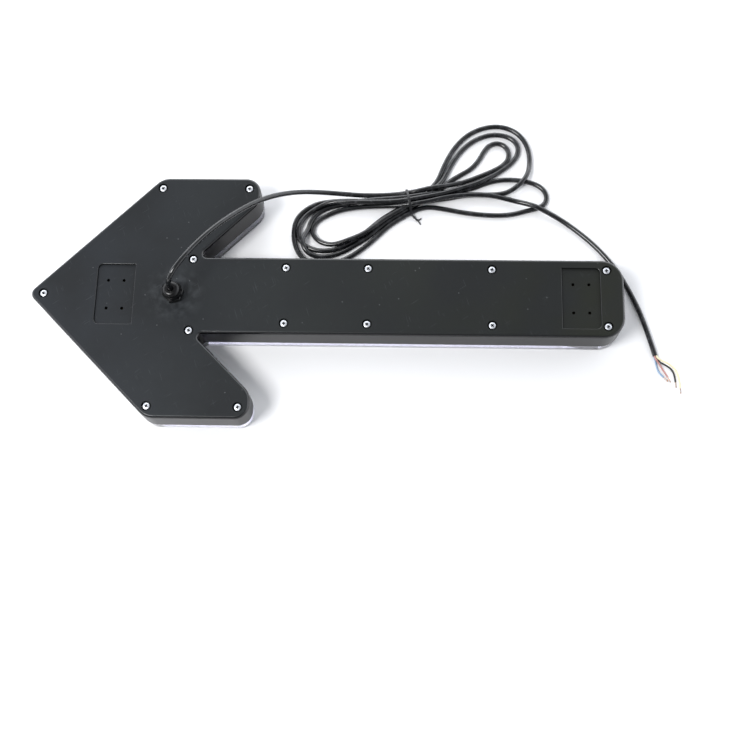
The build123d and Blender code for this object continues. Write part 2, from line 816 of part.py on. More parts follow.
# ---- hank: the outer shape of the tied turns, with the tie let into its waist ----
hank_outline = [
    ((50, 134), 2), ((50, 118), 2), ((12, 122), 30), ((-22, 117), 30), ((-42, 92), 30),
    ((-40, 56), 16), ((-16, 45), 16), ((14, 46), 20), ((40, 68), 40), ((62, 92), 20),
    ((76, 109.5), 8), ((130, 106), 30), ((180, 102), 30), ((216, 102.5), 5), ((232, 124.2), 5),
    ((235, 148), 10), ((218, 160), 8), ((220, 196), 24), ((178, 222), 28), ((132, 204), 28),
    ((106, 160), 24), ((94, 134), 10),
]
tie_x = 83.0
tie_low = 107.5
tie_high = 134.0
tie_middle = (tie_low + tie_high) / 2
tie_reach = tie_high - tie_low
with BuildPart() as hank_tie:
    with BuildSketch(Plane.YZ.offset(tie_x - tie_width / 2)):
        with Locations((tie_middle, hank_height / 2)):
            Rectangle(tie_reach, hank_height)
            Rectangle(
                tie_reach - 2 * tie_thickness,
                hank_height - 2 * tie_thickness,
                mode=Mode.SUBTRACT,
            )
    extrude(amount=tie_width)
hank_tie.part.label = "hank_tie"

with BuildPart() as cable_hank:
    with BuildSketch():
        with BuildLine():
            FilletPolyline(
                *[point for point, _ in hank_outline],
                radius=[corner for _, corner in hank_outline],
                close=True,
            )
        make_face()
    extrude(amount=hank_height)
    add(hank_tie.part, mode=Mode.SUBTRACT)
cable_hank.part.label = "cable_hank"

# ---- free cores at the cable's cut end: where each lies after it leaves the sheath ----
lying = core_diameter / 2
core_routes = {
    "core_black": [(342, -53.5, 1.6), (347.5, -56, lying), (353, -60, lying), (356, -66.5, lying),
                   (356.5, -74, lying)],
    "core_yellow": [(343, -52, 3.3), (350, -54.8, 2.9), (357.5, -61, 1.4),
                    (360.5, -70, lying), (361, -80, lying)],
    "core_blue": [(337.8, -55, 1.1), (338.6, -60, lying), (341, -65, lying), (345, -69, lying)],
    "core_red": [(340, -54.5, 2.9), (343, -59.5, 1.8), (346.2, -63.8, lying), (349, -69, lying)],
}
sheath_end = Vector(*tail_points[-1])
sheath_run = (sheath_end - Vector(*tail_points[-2])).normalized()
sheath_side = Vector(-sheath_run.Y, sheath_run.X, 0)
core_exits = {"core_black": (1, -1), "core_yellow": (1, 1), "core_blue": (-1, -1), "core_red": (-1, 1)}
core_parts = []
tip_ends = []
for core_name, core_points in core_routes.items():
    side, level = core_exits[core_name]
    core_start = sheath_end + sheath_side * core_ring * side + Vector(0, 0, core_ring * level)
    core_clear = core_start + sheath_run * core_straight
    route = [tuple(core_start), tuple(core_clear)] + core_points
    with BuildPart() as core:
        with BuildLine() as core_path:
            FilletPolyline(*route, radius=corner_list(route))
        with BuildSketch(Plane(origin=core_start, z_dir=sheath_run)):
            Circle(core_diameter / 2)
        sweep(path=core_path.wire())
    core.part.label = core_name
    core_parts.append(core)
    tip_ends.append((route[-1], Vector(*route[-1]) - Vector(*route[-2])))

with BuildPart() as core_tips:
    for tip_start, tip_run in tip_ends:
        with BuildSketch(Plane(origin=tip_start, z_dir=tip_run)):
            Circle(core_copper_diameter / 2)
        extrude(amount=core_tip_length)
core_tips.part.label = "core_tips"

# ---- write every piece ----
pieces = [
    back_shell, rim_gasket, lens_cover, cover_screws, mount_inserts,
    stem_lamp_board, left_wing_lamp_board, right_wing_lamp_board, ballast_resistors, board_screws,
    flasher_board, terminal_block, terminal_screws, smoothing_capacitor, choke_coil, driver_chips,
    stacking_header, gland_washer, gland_body, gland_locknut, gland_seal, gland_dome_nut,
    cable_entry, entry_cores, cable_hank, hank_tie, core_tips,
]
pieces += lamp_parts + jumper_parts + tube_parts + core_parts
os.makedirs("parts", exist_ok=True)
for piece in pieces:
    export_step(piece.part, f"parts/{piece.part.label}.step")
print(len(pieces), "nodes written")
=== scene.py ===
"""Directional arrow light board: finishes, fixings and free cable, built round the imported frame."""

import json
import logging
import math
import random
from dataclasses import dataclass
from enum import Enum

import bmesh
import bpy
from mathutils import Matrix, Vector

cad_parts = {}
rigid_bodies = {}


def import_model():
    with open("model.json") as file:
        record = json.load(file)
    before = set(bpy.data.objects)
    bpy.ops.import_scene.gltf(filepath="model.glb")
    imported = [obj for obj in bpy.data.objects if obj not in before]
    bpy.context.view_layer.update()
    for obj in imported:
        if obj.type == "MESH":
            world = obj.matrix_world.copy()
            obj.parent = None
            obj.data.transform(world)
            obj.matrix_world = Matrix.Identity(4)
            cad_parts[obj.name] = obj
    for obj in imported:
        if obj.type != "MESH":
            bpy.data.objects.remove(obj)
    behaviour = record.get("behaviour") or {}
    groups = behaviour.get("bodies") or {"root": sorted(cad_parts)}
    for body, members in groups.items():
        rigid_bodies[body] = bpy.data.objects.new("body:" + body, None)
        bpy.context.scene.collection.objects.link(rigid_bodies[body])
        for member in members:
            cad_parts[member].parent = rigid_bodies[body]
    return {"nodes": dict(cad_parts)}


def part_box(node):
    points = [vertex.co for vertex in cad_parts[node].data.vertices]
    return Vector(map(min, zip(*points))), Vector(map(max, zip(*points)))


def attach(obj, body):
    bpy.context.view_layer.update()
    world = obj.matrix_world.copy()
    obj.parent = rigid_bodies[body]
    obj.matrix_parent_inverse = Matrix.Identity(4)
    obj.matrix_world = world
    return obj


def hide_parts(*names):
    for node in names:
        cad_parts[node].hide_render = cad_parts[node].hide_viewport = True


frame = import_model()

Point = tuple[float, ...]
Tree = bpy.types.NodeTree
Node = bpy.types.Node
Socket = bpy.types.NodeSocket
Sockets = bpy.types.bpy_prop_collection
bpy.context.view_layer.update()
MM = 0.001
LOG = logging.getLogger("light_board")

# ---- the free cable, in millimetres: a point without a height lies on the bench ----
CABLE_DIAMETER = 5.2
LYING = CABLE_DIAMETER / 2
LEAD = (
    (-153.8, 0, 61), (-153.8, 0, 74), (-149, 6.5, 84.5), (-140, 19.5, 86.5), (-127, 38, 84),
    (-110, 59, 78.5), (-91, 79, 69), (-72, 97, 57.5), (-52, 111.5, 43), (-31, 121.5, 28.5),
    (-10, 126.5, 17), (10, 128.5, 9.5), (30, 128.5, 6), (50, 129, 5),
)
INNER_LOOP = (
    (70, 129.5, 6.5), (84, 131, 8.5), (95, 132.5, 11), (105, 135, 11.5), (115, 137.5, 10),
    (126, 141, 6.5), (138, 144.5, 3.5), (151, 149.5, 3), (164, 155.5), (174.5, 160.5), (182.8, 165.5),
    (189, 172.3), (190.4, 181.3), (186.2, 189.3), (177.8, 193), (169, 190.3), (163.2, 183),
    (159, 174.5), (154, 167), (147.5, 160.5), (138.5, 155),
    (128.5, 148.5), (120.5, 141.5), (112, 134), (102.5, 127), (92.5, 120.5), (83.5, 115.5),
    (75, 110), (66.5, 104.5), (57.5, 98), (46.5, 87.5), (35.5, 78.5), (26.5, 72.5), (17.5, 66.5),
    (8.5, 62), (-3, 59), (-14, 58.5, 3), (-23, 61.5, 5), (-28.5, 68.5, 7.5), (-29.5, 76.5, 7.5),
    (-26.5, 84, 5.5), (-23.5, 91.5, 3.5), (-21.5, 99.5, 3), (-16, 107.5, 3), (-7, 113.5, 3),
    (4, 117, 3.5), (18, 119, 5), (36, 122, 7.5), (56, 123.5, 8), (74, 124.5, 9),
)
LOW_LOOP = (
    (88, 126, 10.5), (101.5, 128.5, 10.5), (115.5, 131.5, 7.5), (129, 133.5, 4), (142, 136.5, 3),
    (154, 140), (166, 145.5), (180, 149), (196, 149.5), (210.5, 147), (220.5, 143.2),
    (227.8, 136.8), (230.4, 128), (226.8, 120), (218.2, 115.8), (207.5, 113), (195.5, 109.3),
    (181, 107.5), (162, 108), (141, 110.5),
    (121, 114.5), (105.5, 117), (93.5, 115), (82.5, 109), (72.5, 102.5), (61, 94.5), (48.5, 81.5),
    (36.5, 70), (24, 60.5), (8, 52), (-9, 48.5), (-24, 52), (-33.5, 62), (-38.5, 74), (-40, 88),
    (-37.5, 101.5), (-29.5, 111.5), (-17, 119.5), (-2, 122.5), (16, 123.5), (38, 123), (60, 122),
    (74, 121.5, 4.5),
)
OUTER_LOOP = (
    (88, 121.5, 6), (102.5, 122, 6), (116, 125, 4.5), (128, 127.5), (140, 130.5), (152, 131.5),
    (165, 131.5), (177, 132), (187, 133.5, 3.5), (196, 138, 6), (203.5, 144.5, 8), (209, 153, 7.5),
    (212, 164, 3.5), (212.5, 179, 3), (208, 195), (197, 207.5), (180, 213.5), (161.5, 211),
    (145, 202.5), (132.5, 189), (124.5, 175), (118.5, 161), (114.5, 150), (109.5, 142), (102, 135),
    (93, 128.5), (83.5, 121.5), (74, 115.5), (64.5, 109.5), (53.5, 102), (42.5, 92), (33, 83.5),
    (23.5, 76.5), (14, 71), (3.5, 66.5), (-8, 65), (-19, 67), (-28, 71.5), (-33.5, 79, 3.5),
    (-35.5, 88, 4.5), (-32.5, 97, 4.5), (-27, 106, 3.5), (-17, 113, 4.5), (-5, 118.5, 7),
    (8, 119.5, 9.5), (24, 118.5, 10.5), (44, 118.5, 11), (63.5, 119, 11), (78, 120.5, 11.5),
)
MIDDLE_LOOP = (
    (92, 122.5, 13.5), (106, 125.5, 13), (119, 129, 11), (132, 134, 9.5), (145, 139, 8),
    (157, 143.5, 7.5), (167, 149.5, 6), (176, 155.5, 3.5), (185.5, 162.5, 3),
    (195, 171), (200.5, 182), (199, 193), (189, 201), (173, 203.5), (155.5, 198), (141.5, 187),
    (132, 174),
    (125.5, 161.5), (120, 150, 3), (115, 142, 5), (107.5, 135, 6), (98, 128, 6.5), (88, 121, 8),
    (78.5, 114.5, 7), (68.5, 108.5, 7), (58.5, 102, 7), (49, 94, 7.5), (39.5, 86.5, 7.5),
    (30.5, 81, 7.5), (21.5, 77, 8), (12, 74, 6), (3.5, 72, 4.5), (-6, 73, 3.5), (-15, 78, 3),
    (-20, 86), (-18.5, 95), (-12.5, 101.5), (-3, 107, 3), (8, 111.5, 3.5), (22, 114.5, 4),
    (40, 116, 5), (60, 116, 6.5), (76, 116, 9),
)
WAY_OUT = (
    (90, 117, 12), (104.5, 119.5, 12.5), (118.5, 124, 11), (131, 127.5, 8.5), (146, 129.5, 7.5),
    (160, 129.5, 7.5), (173, 128.5, 7), (185, 126, 5.5), (197, 123, 5), (208, 119.5, 7),
    (218, 116, 8),
)
TAIL = (
    (229, 111, 5.5), (243, 103.5, 3.5), (259, 92), (275.5, 77.5), (290, 61.5), (303, 43.5),
    (312.5, 25), (321, 6), (327.5, -13), (332.5, -30.5), (337, -47),
)


def linear(code: str) -> tuple[float, float, float, float]:
    """Turn an sRGB hex value into the linear colour that a shader takes.

    Args:
        code: six hex digits, such as "1a2b3c".

    Returns:
        Linear red, green, blue and an alpha of 1.
    """
    parts = [int(code[i : i + 2], 16) / 255 for i in (0, 2, 4)]
    red, green, blue = (c / 12.92 if c <= 0.04045 else ((c + 0.055) / 1.055) ** 2.4 for c in parts)
    return (red, green, blue, 1.0)


def per_metre(millimetres: float) -> float:
    """How many features of this width fit in a metre, which is a texture's scale."""
    return 1000 / millimetres


def add_node(tree: Tree, kind: str, inputs: dict | None = None, **settings) -> Node:
    """Add a node with its settings, and set or link its inputs.

    Args:
        tree: the node tree that gets the node.
        kind: the node's type name.
        inputs: socket name or number to a value or to the output socket that feeds it.
        settings: the node's own properties.

    Returns:
        The new node.
    """
    node = tree.nodes.new(kind)
    for key, value in settings.items():
        setattr(node, key, value)
    for key, value in (inputs or {}).items():
        if isinstance(value, bpy.types.NodeSocket):
            tree.links.new(value, node.inputs[key])
        else:
            node.inputs[key].default_value = value
    return node


def product(tree: Tree, first: Socket | float, second: Socket | float) -> Socket:
    """Multiply two values with a node, and return its output socket."""
    return add_node(tree, "ShaderNodeMath", {0: first, 1: second}, operation="MULTIPLY").outputs[0]


# ---- finishes ----
@dataclass(frozen=True)
class Finish:
    """A surface: its name, its colour and the shader's own values."""

    name: str
    colour: str
    roughness: float
    ior: float = 1.5
    metallic: float = 0.0
    coat: float = 0.0
    transmission: float = 0.0
    specular: float = 0.5

    def build(self) -> bpy.types.Material:
        """Make the material, and let the finish add its pattern.

        Returns:
            The material, ready for a piece.
        """
        made = bpy.data.materials.new(self.name)
        made.use_nodes = True
        tree = made.node_tree
        shader = tree.nodes["Principled BSDF"]
        shader.inputs["Base Color"].default_value = linear(self.colour)
        shader.inputs["Roughness"].default_value = self.roughness
        shader.inputs["Metallic"].default_value = self.metallic
        if self.metallic == 0:
            shader.inputs["IOR"].default_value = self.ior
        shader.inputs["Coat Weight"].default_value = self.coat
        shader.inputs["Specular IOR Level"].default_value = self.specular
        shader.inputs["Transmission Weight"].default_value = self.transmission
        place = add_node(tree, "ShaderNodeTexCoord").outputs
        self.pattern(tree, shader, place)
        return made

    def pattern(self, tree: Tree, shader: Node, place: Sockets) -> None:
        """Add what varies over the surface; a plain finish gets a fine grain.

        Args:
            tree: the material's node tree.
            shader: the shader that the pattern feeds.
            place: the texture coordinate outputs.
        """
        self.grain(tree, shader, place, 1.2, 0.12, 0.03)

    def noise(self, tree: Tree, vector: Socket, width: float, detail: float = 2.0) -> Socket:
        """A noise whose features are this many millimetres wide.

        Args:
            tree: the material's node tree.
            vector: where the noise is read.
            width: the width of a feature in millimetres.
            detail: how many finer layers it has.

        Returns:
            The noise's value socket.
        """
        scale = per_metre(width)
        inputs = {"Vector": vector, "Scale": scale, "Detail": detail}
        return add_node(tree, "ShaderNodeTexNoise", inputs).outputs[0]

    def band(self, tree: Tree, value: Socket, low: float, high: float, start: float, end: float) -> Socket:
        """Remap a value from one range to another, held at the ends.

        Args:
            tree: the material's node tree.
            value: the socket to remap.
            low: the value that gives start.
            high: the value that gives end.
            start: the result at low.
            end: the result at high.

        Returns:
            The remapped socket.
        """
        inputs = {"Value": value, "From Min": low, "From Max": high, "To Min": start, "To Max": end}
        return add_node(tree, "ShaderNodeMapRange", inputs).outputs[0]

    def mix(self, tree: Tree, share: Socket | float, first: Socket | tuple, second: Socket | tuple) -> Socket:
        """Mix two colours by a share.

        Args:
            tree: the material's node tree.
            share: the socket or number that says how much of the second shows.
            first: a colour or a colour socket.
            second: a colour or a colour socket.

        Returns:
            The mixed colour socket.
        """
        node = add_node(tree, "ShaderNodeMix", {0: share, 6: first, 7: second}, data_type="RGBA")
        return node.outputs[2]

    def grain(self, tree: Tree, shader: Node, place: Sockets, width: float, strength: float,
              depth: float) -> None:
        """Give the surface a fine relief.

        Args:
            tree: the material's node tree.
            shader: the shader whose normal is set.
            place: the texture coordinate outputs.
            width: the width of a grain in millimetres.
            strength: the bump's strength.
            depth: the bump's height in millimetres.
        """
        height = self.noise(tree, place["Object"], width)
        inputs = {"Strength": strength, "Distance": depth * MM, "Height": height}
        bump = add_node(tree, "ShaderNodeBump", inputs)
        tree.links.new(bump.outputs[0], shader.inputs["Normal"])


@dataclass(frozen=True)
class MouldedShell(Finish):
    """Black ABS from a mould: a satin face that has been handled, and polished side walls."""

    scuffed: str = "4a4d50"
    patch: str = "1a1c1e"
    # The colour that the face darkens to towards the tail: painted shade.
    tail_painted_shade: str = "20221d"
    # The side walls' colour: a darker copy of the face's black, as painted shade.
    wall_painted_shade: str = "08080a"
    gland: Point = (0.0, 0.0, 0.0)

    def pattern(self, tree: Tree, shader: Node, place: Sockets) -> None:
        """Mottling, scuffs, dust and a smudge round the gland, with painted shade towards the tail and on the
        side walls; gloss on the walls and rounded edges.
        """
        where = place["Object"]
        upward = add_node(tree, "ShaderNodeSeparateXYZ", {0: place["Normal"]}).outputs["Z"]
        face = self.band(tree, upward, 0.72, 0.98, 0.0, 1.0)
        # Flow marks and handling leave patches about 70 mm across.
        patches = self.band(tree, self.noise(tree, where, 70, 3), 0.38, 0.66, 0.0, 0.75)
        # Painted shade: the face turns darker and warmer towards the tail, where its reflection of the lights
        # is dimmer.
        along_board = add_node(tree, "ShaderNodeSeparateXYZ", {0: where}).outputs["X"]
        side = self.band(tree, along_board, -0.25, 0.25, 0, 1)
        tail_shaded_colour = self.mix(tree, side, linear(self.colour), linear(self.tail_painted_shade))
        colour = self.mix(tree, patches, tail_shaded_colour, linear(self.patch))
        # Hairline scuffs 0.2 mm wide are drawn 0.7 mm wide, which is as fine as shows.
        for turn, length, reach in ((0.6, 16, 0.80), (-1.1, 11, 0.81), (1.9, 20, 0.80)):
            stretch = (length * MM, 0.7 * MM, 1)
            inputs = {"Vector": where, "Rotation": (0, 0, turn), "Scale": stretch}
            along = add_node(tree, "ShaderNodeMapping", inputs, vector_type="TEXTURE").outputs[0]
            lines = add_node(tree, "ShaderNodeTexNoise", {"Vector": along, "Scale": 1.0, "Detail": 0.0})
            rubbed = self.band(tree, lines.outputs[0], reach, reach + 0.05, 0.0, 0.36)
            colour = self.mix(tree, rubbed, colour, linear(self.scuffed))
        # Dust specks 0.7 mm across, one in a cell of 14 mm.
        cells = add_node(tree, "ShaderNodeTexVoronoi", {"Vector": where, "Scale": per_metre(14)})
        specks = self.band(tree, cells.outputs["Distance"], 0.026, 0.05, 0.28, 0.0)
        colour = self.mix(tree, specks, colour, linear("8b8d90"))
        # Sealant dust is left in a ring about 25 mm out from the gland.
        apart = add_node(tree, "ShaderNodeVectorMath", {0: where, 1: self.gland}, operation="DISTANCE")
        near = self.band(tree, apart.outputs["Value"], 0.011, 0.034, 1.0, 0.0)
        dusty = self.band(tree, self.noise(tree, where, 9, 4), 0.42, 0.7, 0.0, 0.5)
        ring = product(tree, near, dusty)
        colour = self.mix(tree, ring, colour, linear(self.scuffed))
        # Painted shade: the side walls take a darker copy of the black than the face, where less light falls
        # on them.
        colour = self.mix(tree, face, linear(self.wall_painted_shade), colour)
        tree.links.new(colour, shader.inputs["Base Color"])
        wear = self.noise(tree, where, 35, 3)
        worn = self.band(tree, wear, 0.35, 0.7, self.roughness, self.roughness + 0.12)
        gloss = add_node(tree, "ShaderNodeMix", {0: face, 2: 0.3, 3: worn}).outputs[0]
        # Handling has burnished the rounded edges between the face and the walls.
        rising = self.band(tree, upward, 0.25, 0.5, 0.0, 1.0)
        falling = self.band(tree, upward, 0.93, 0.99, 1.0, 0.0)
        edge = product(tree, rising, falling)
        gloss = add_node(tree, "ShaderNodeMix", {0: edge, 2: gloss, 3: 0.2}).outputs[0]
        tree.links.new(gloss, shader.inputs["Roughness"])
        shine = self.band(tree, edge, 0, 1, self.specular, 0.6)
        tree.links.new(shine, shader.inputs["Specular IOR Level"])
        # The mould's spark-eroded grain is 0.3 mm wide and is drawn at 1 mm so that it shows.
        relief = product(tree, face, 0.16)
        height = self.noise(tree, where, 1.0, 2)
        inputs = {"Strength": relief, "Distance": 0.05 * MM, "Height": height}
        bump = add_node(tree, "ShaderNodeBump", inputs)
        tree.links.new(bump.outputs[0], shader.inputs["Normal"])


@dataclass(frozen=True)
class ClearPolycarbonate(Finish):
    """Moulded polycarbonate: clear, glossy, with a faint waviness and a little dust."""

    def pattern(self, tree: Tree, shader: Node, place: Sockets) -> None:
        """Waviness 20 mm long, and dust that dulls the gloss in places."""
        dull = self.band(tree, self.noise(tree, place["Object"], 6, 4), 0.5, 0.8, self.roughness, 0.16)
        tree.links.new(dull, shader.inputs["Roughness"])
        self.grain(tree, shader, place, 20, 0.10, 0.15)


@dataclass(frozen=True)
class PlatedSteel(Finish):
    """Zinc-plated steel: bright, bluish, with cloudy plating and fine marks."""

    def pattern(self, tree: Tree, shader: Node, place: Sockets) -> None:
        """Cloudy plating 1.5 mm across and fine marks."""
        cloud = self.noise(tree, place["Object"], 1.5, 3)
        share = self.band(tree, cloud, 0.35, 0.65, 0, 1)
        tone = self.mix(tree, share, linear(self.colour), linear("c6cad1"))
        tree.links.new(tone, shader.inputs["Base Color"])
        rough = self.band(tree, cloud, 0.3, 0.7, self.roughness - 0.06, self.roughness + 0.1)
        tree.links.new(rough, shader.inputs["Roughness"])
        self.grain(tree, shader, place, 0.5, 0.2, 0.02)


@dataclass(frozen=True)
class CircuitBoard(Finish):
    """Glass-epoxy board under solder mask: traces show as slightly paler bars."""

    def pattern(self, tree: Tree, shader: Node, place: Sockets) -> None:
        """Square copper areas 3.5 mm apart under the mask."""
        inputs = {"Vector": place["Object"], "Scale": per_metre(3.5), "Randomness": 0.75}
        cells = add_node(tree, "ShaderNodeTexVoronoi", inputs, distance="CHEBYCHEV", feature="F1")
        trace = self.band(tree, cells.outputs["Distance"], 0.40, 0.46, 1.0, 0.0)
        tone = self.mix(tree, trace, linear(self.colour), linear("1f6a45"))
        tree.links.new(tone, shader.inputs["Base Color"])
        inputs = {"Strength": 0.25, "Distance": 0.035 * MM, "Height": trace}
        tree.links.new(add_node(tree, "ShaderNodeBump", inputs).outputs[0], shader.inputs["Normal"])


@dataclass(frozen=True)
class SheathPvc(Finish):
    """Extruded soft PVC: satin black, with a slow waviness from the cores under it and a few rubs."""

    rubbed: str = "2c2d30"

    def pattern(self, tree: Tree, shader: Node, place: Sockets) -> None:
        """Rubbed patches 8 mm long, and a skin that waves with the lay of the cores."""
        where = place["Object"]
        rubs = self.band(tree, self.noise(tree, where, 8, 4), 0.5, 0.72, 0.0, 1.0)
        tone = self.mix(tree, rubs, linear(self.colour), linear(self.rubbed))
        tree.links.new(tone, shader.inputs["Base Color"])
        rough = self.band(tree, rubs, 0, 1, self.roughness, self.roughness + 0.14)
        tree.links.new(rough, shader.inputs["Roughness"])
        self.grain(tree, shader, place, 7, 0.22, 0.12)


@dataclass(frozen=True)
class WoundCopper(Finish):
    """Enamelled wire: fine turns 0.8 mm apart."""

    def pattern(self, tree: Tree, shader: Node, place: Sockets) -> None:
        """Parallel turns seen as bands."""
        inputs = {"Vector": place["Object"], "Scale": per_metre(0.8) / 6.283, "Distortion": 0.0}
        turns = add_node(tree, "ShaderNodeTexWave", inputs, bands_direction="DIAGONAL").outputs[1]
        inputs = {"Strength": 0.5, "Distance": 0.15 * MM, "Height": turns}
        tree.links.new(add_node(tree, "ShaderNodeBump", inputs).outputs[0], shader.inputs["Normal"])


class Finishes:
    """Every finish of the light board, each built once and kept by name."""

    def __init__(self) -> None:
        """Build the finishes from typical values of the real materials."""
        low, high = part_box("gland_washer")
        centre = ((low.x + high.x) / 2, (low.y + high.y) / 2, high.z)
        known = {
            "shell": MouldedShell("moulded_black_abs", "24272b", 0.46, ior=1.53, specular=0.17, gland=centre),
            "lens": ClearPolycarbonate("clear_polycarbonate", "e9e7f2", 0.05, ior=1.585, transmission=1.0),
            "rubber": Finish("epdm_rubber", "151515", 0.75, ior=1.52),
            "zinc": PlatedSteel("zinc_plated_steel", "eef0f4", 0.42, metallic=1.0),
            # The cross recess takes a dark colour: painted shade down the recess.
            "recess": Finish("painted_shade_screw_recess", "2a2c2f", 0.55, ior=1.5),
            # Turned brass, painted far darker than brass as shade down the deep insert bores.
            "brass": Finish("painted_shade_brass", "3d3423", 0.6, metallic=1.0),
            "board": CircuitBoard("solder_masked_glass_epoxy", "14492f", 0.32, ior=1.55),
            "epoxy": Finish("moulded_black_epoxy", "1b1b1d", 0.5, ior=1.55),
            "phosphor": Finish("amber_phosphor_silicone", "f0a021", 0.35, ior=1.43),
            "optic": ClearPolycarbonate("clear_acrylic", "fbfbfd", 0.02, ior=1.49, transmission=1.0),
            "terminal": Finish("moulded_green_nylon", "2f8a4c", 0.45, ior=1.53),
            "copper_coil": WoundCopper("enamelled_copper_wire", "a5522b", 0.3, metallic=1.0),
            "nylon": Finish("black_nylon", "070708", 0.28, ior=1.53, specular=0.35),
            "sheath": SheathPvc("black_soft_pvc", "0c0d0f", 0.2, ior=1.53, coat=0.25),
            "tie": Finish("pvc_coated_tie_wire", "1d1d1f", 0.36, ior=1.53),
            "aluminium": Finish("bare_aluminium", "c8cacc", 0.3, metallic=1.0),
            "white_ceramic": Finish("white_led_ceramic", "e9e6dd", 0.5, ior=1.6),
            "bright_copper": PlatedSteel("tinned_copper_strand", "d9a77a", 0.28, metallic=1.0),
        }
        for core in Core:
            known[core.value] = Finish(f"pvc_insulation_{core.value}", core.colour(), 0.35, ior=1.53)
        self.made = {key: finish.build() for key, finish in known.items()}

    def dress(self, piece: bpy.types.Object, key: str) -> None:
        """Give a CAD node's object this finish in every one of its material slots.

        Args:
            piece: the object to dress.
            key: the finish's key.
        """
        if not piece.material_slots:
            piece.data.materials.append(self.made[key])
        for holder in piece.material_slots:
            holder.link = "OBJECT"
            holder.material = self.made[key]


class Core(Enum):
    """The four insulated cores of the cable."""

    BLACK = "black"
    YELLOW = "yellow"
    BLUE = "blue"
    RED = "red"

    def colour(self) -> str:
        """The insulation's colour."""
        return {"black": "121214", "yellow": "efe6bf", "blue": "86a0bd", "red": "bb837d"}[self.value]

    def exit(self) -> tuple[int, int]:
        """Which side and level of the sheath's end face the core leaves from."""
        return {"black": (1, -1), "yellow": (1, 1), "blue": (-1, -1), "red": (-1, 1)}[self.value]

    def route(self) -> tuple[Point, ...]:
        """Where the core lies after it leaves the sheath, in millimetres.

        Returns:
            The route's points, whose last is where the insulation ends.
        """
        low = 0.85
        routes = {
            "black": ((342, -53.5, 1.6), (347.5, -56, low), (353, -60, low), (356, -66.5, low),
                      (356.5, -74, low)),
            "yellow": ((343, -52, 3.3), (350, -54.8, 2.9), (357.5, -61, 1.4), (360.5, -70, low),
                       (361, -80, low)),
            "blue": ((337.8, -55, 1.1), (338.6, -60, low), (341, -65, low), (345, -69, low)),
            "red": ((340, -54.5, 2.9), (343, -59.5, 1.8), (346.2, -63.8, low), (349, -69, low)),
        }
        return routes[self.value]


# ---- pieces ----
def mesh_piece(name: str, mesh: bpy.types.Mesh) -> bpy.types.Object:
    """Make an object of a mesh, at the origin, and link it into the scene."""
    piece = bpy.data.objects.new(name, mesh)
    bpy.context.scene.collection.objects.link(piece)
    return piece


def paint(piece: bpy.types.Object, material: bpy.types.Material) -> None:
    """Give a piece one material in place of any that it has."""
    piece.data.materials.clear()
    piece.data.materials.append(material)


def evaluated_mesh(source: bpy.types.Object, name: str) -> bpy.types.Mesh:
    """Copy an object's evaluated shape into a mesh of its own, with its place applied.

    Args:
        source: a curve, or a mesh with modifiers.
        name: the new mesh's name.

    Returns:
        The plain mesh.
    """
    bpy.context.view_layer.update()
    graph = bpy.context.evaluated_depsgraph_get()
    mesh = bpy.data.meshes.new_from_object(source.evaluated_get(graph), depsgraph=graph)
    mesh.transform(source.matrix_world)
    mesh.name = name
    return mesh


def shade(mesh: bpy.types.Mesh, angle: float = 35) -> None:
    """Shade a mesh smooth, with edges sharper than the angle left sharp.

    Args:
        mesh: the mesh to shade.
        angle: the angle in degrees past which an edge stays sharp.
    """
    form = bmesh.new()
    form.from_mesh(mesh)
    for edge in form.edges:
        turned = edge.calc_face_angle(0.0) if len(edge.link_faces) == 2 else 4.0
        edge.smooth = turned < math.radians(angle)
    for face in form.faces:
        face.smooth = True
    form.to_mesh(mesh)
    form.free()


def turned_form(profile: list[Point], sides: int) -> bmesh.types.BMesh:
    """Turn a profile about Z into a closed form whose faces point outwards.

    Args:
        profile: radius and height of each point, from one end of the axis to the other.
        sides: how many sides the form has.

    Returns:
        The form, to be made a mesh and freed.
    """
    form = bmesh.new()
    rings = []
    for radius, height in profile:
        if radius == 0:
            rings.append([form.verts.new((0, 0, height))])
            continue
        turn = [2 * math.pi * i / sides for i in range(sides)]
        rings.append([form.verts.new((radius * math.cos(a), radius * math.sin(a), height)) for a in turn])
    for first, second in zip(rings, rings[1:]):
        for i in range(sides):
            corners = [first[i % len(first)], first[(i + 1) % len(first)]]
            corners += [second[(i + 1) % len(second)], second[i % len(second)]]
            unique = list(dict.fromkeys(corners))
            if len(unique) > 2:
                form.faces.new(unique)
    bmesh.ops.recalc_face_normals(form, faces=form.faces)
    return form


def place_set(node: bpy.types.Object) -> list[Vector]:
    """Find the middle of each separate solid in a CAD node's mesh.

    Args:
        node: the CAD node's object.

    Returns:
        The middles of the solids' boxes, in order of X and then Y.
    """
    form = bmesh.new()
    form.from_mesh(node.data)
    bmesh.ops.remove_doubles(form, verts=form.verts, dist=0.00001)
    left, middles = set(form.verts), []
    while left:
        stack, low, high = [left.pop()], Vector((9, 9, 9)), Vector((-9, -9, -9))
        while stack:
            vert = stack.pop()
            low, high = Vector(map(min, low, vert.co)), Vector(map(max, high, vert.co))
            for edge in vert.link_edges:
                other = edge.other_vert(vert)
                if other in left:
                    left.remove(other)
                    stack.append(other)
        middles.append((low + high) / 2)
    form.free()
    return sorted(middles, key=lambda middle: (round(middle.x, 4), round(middle.y, 4)))


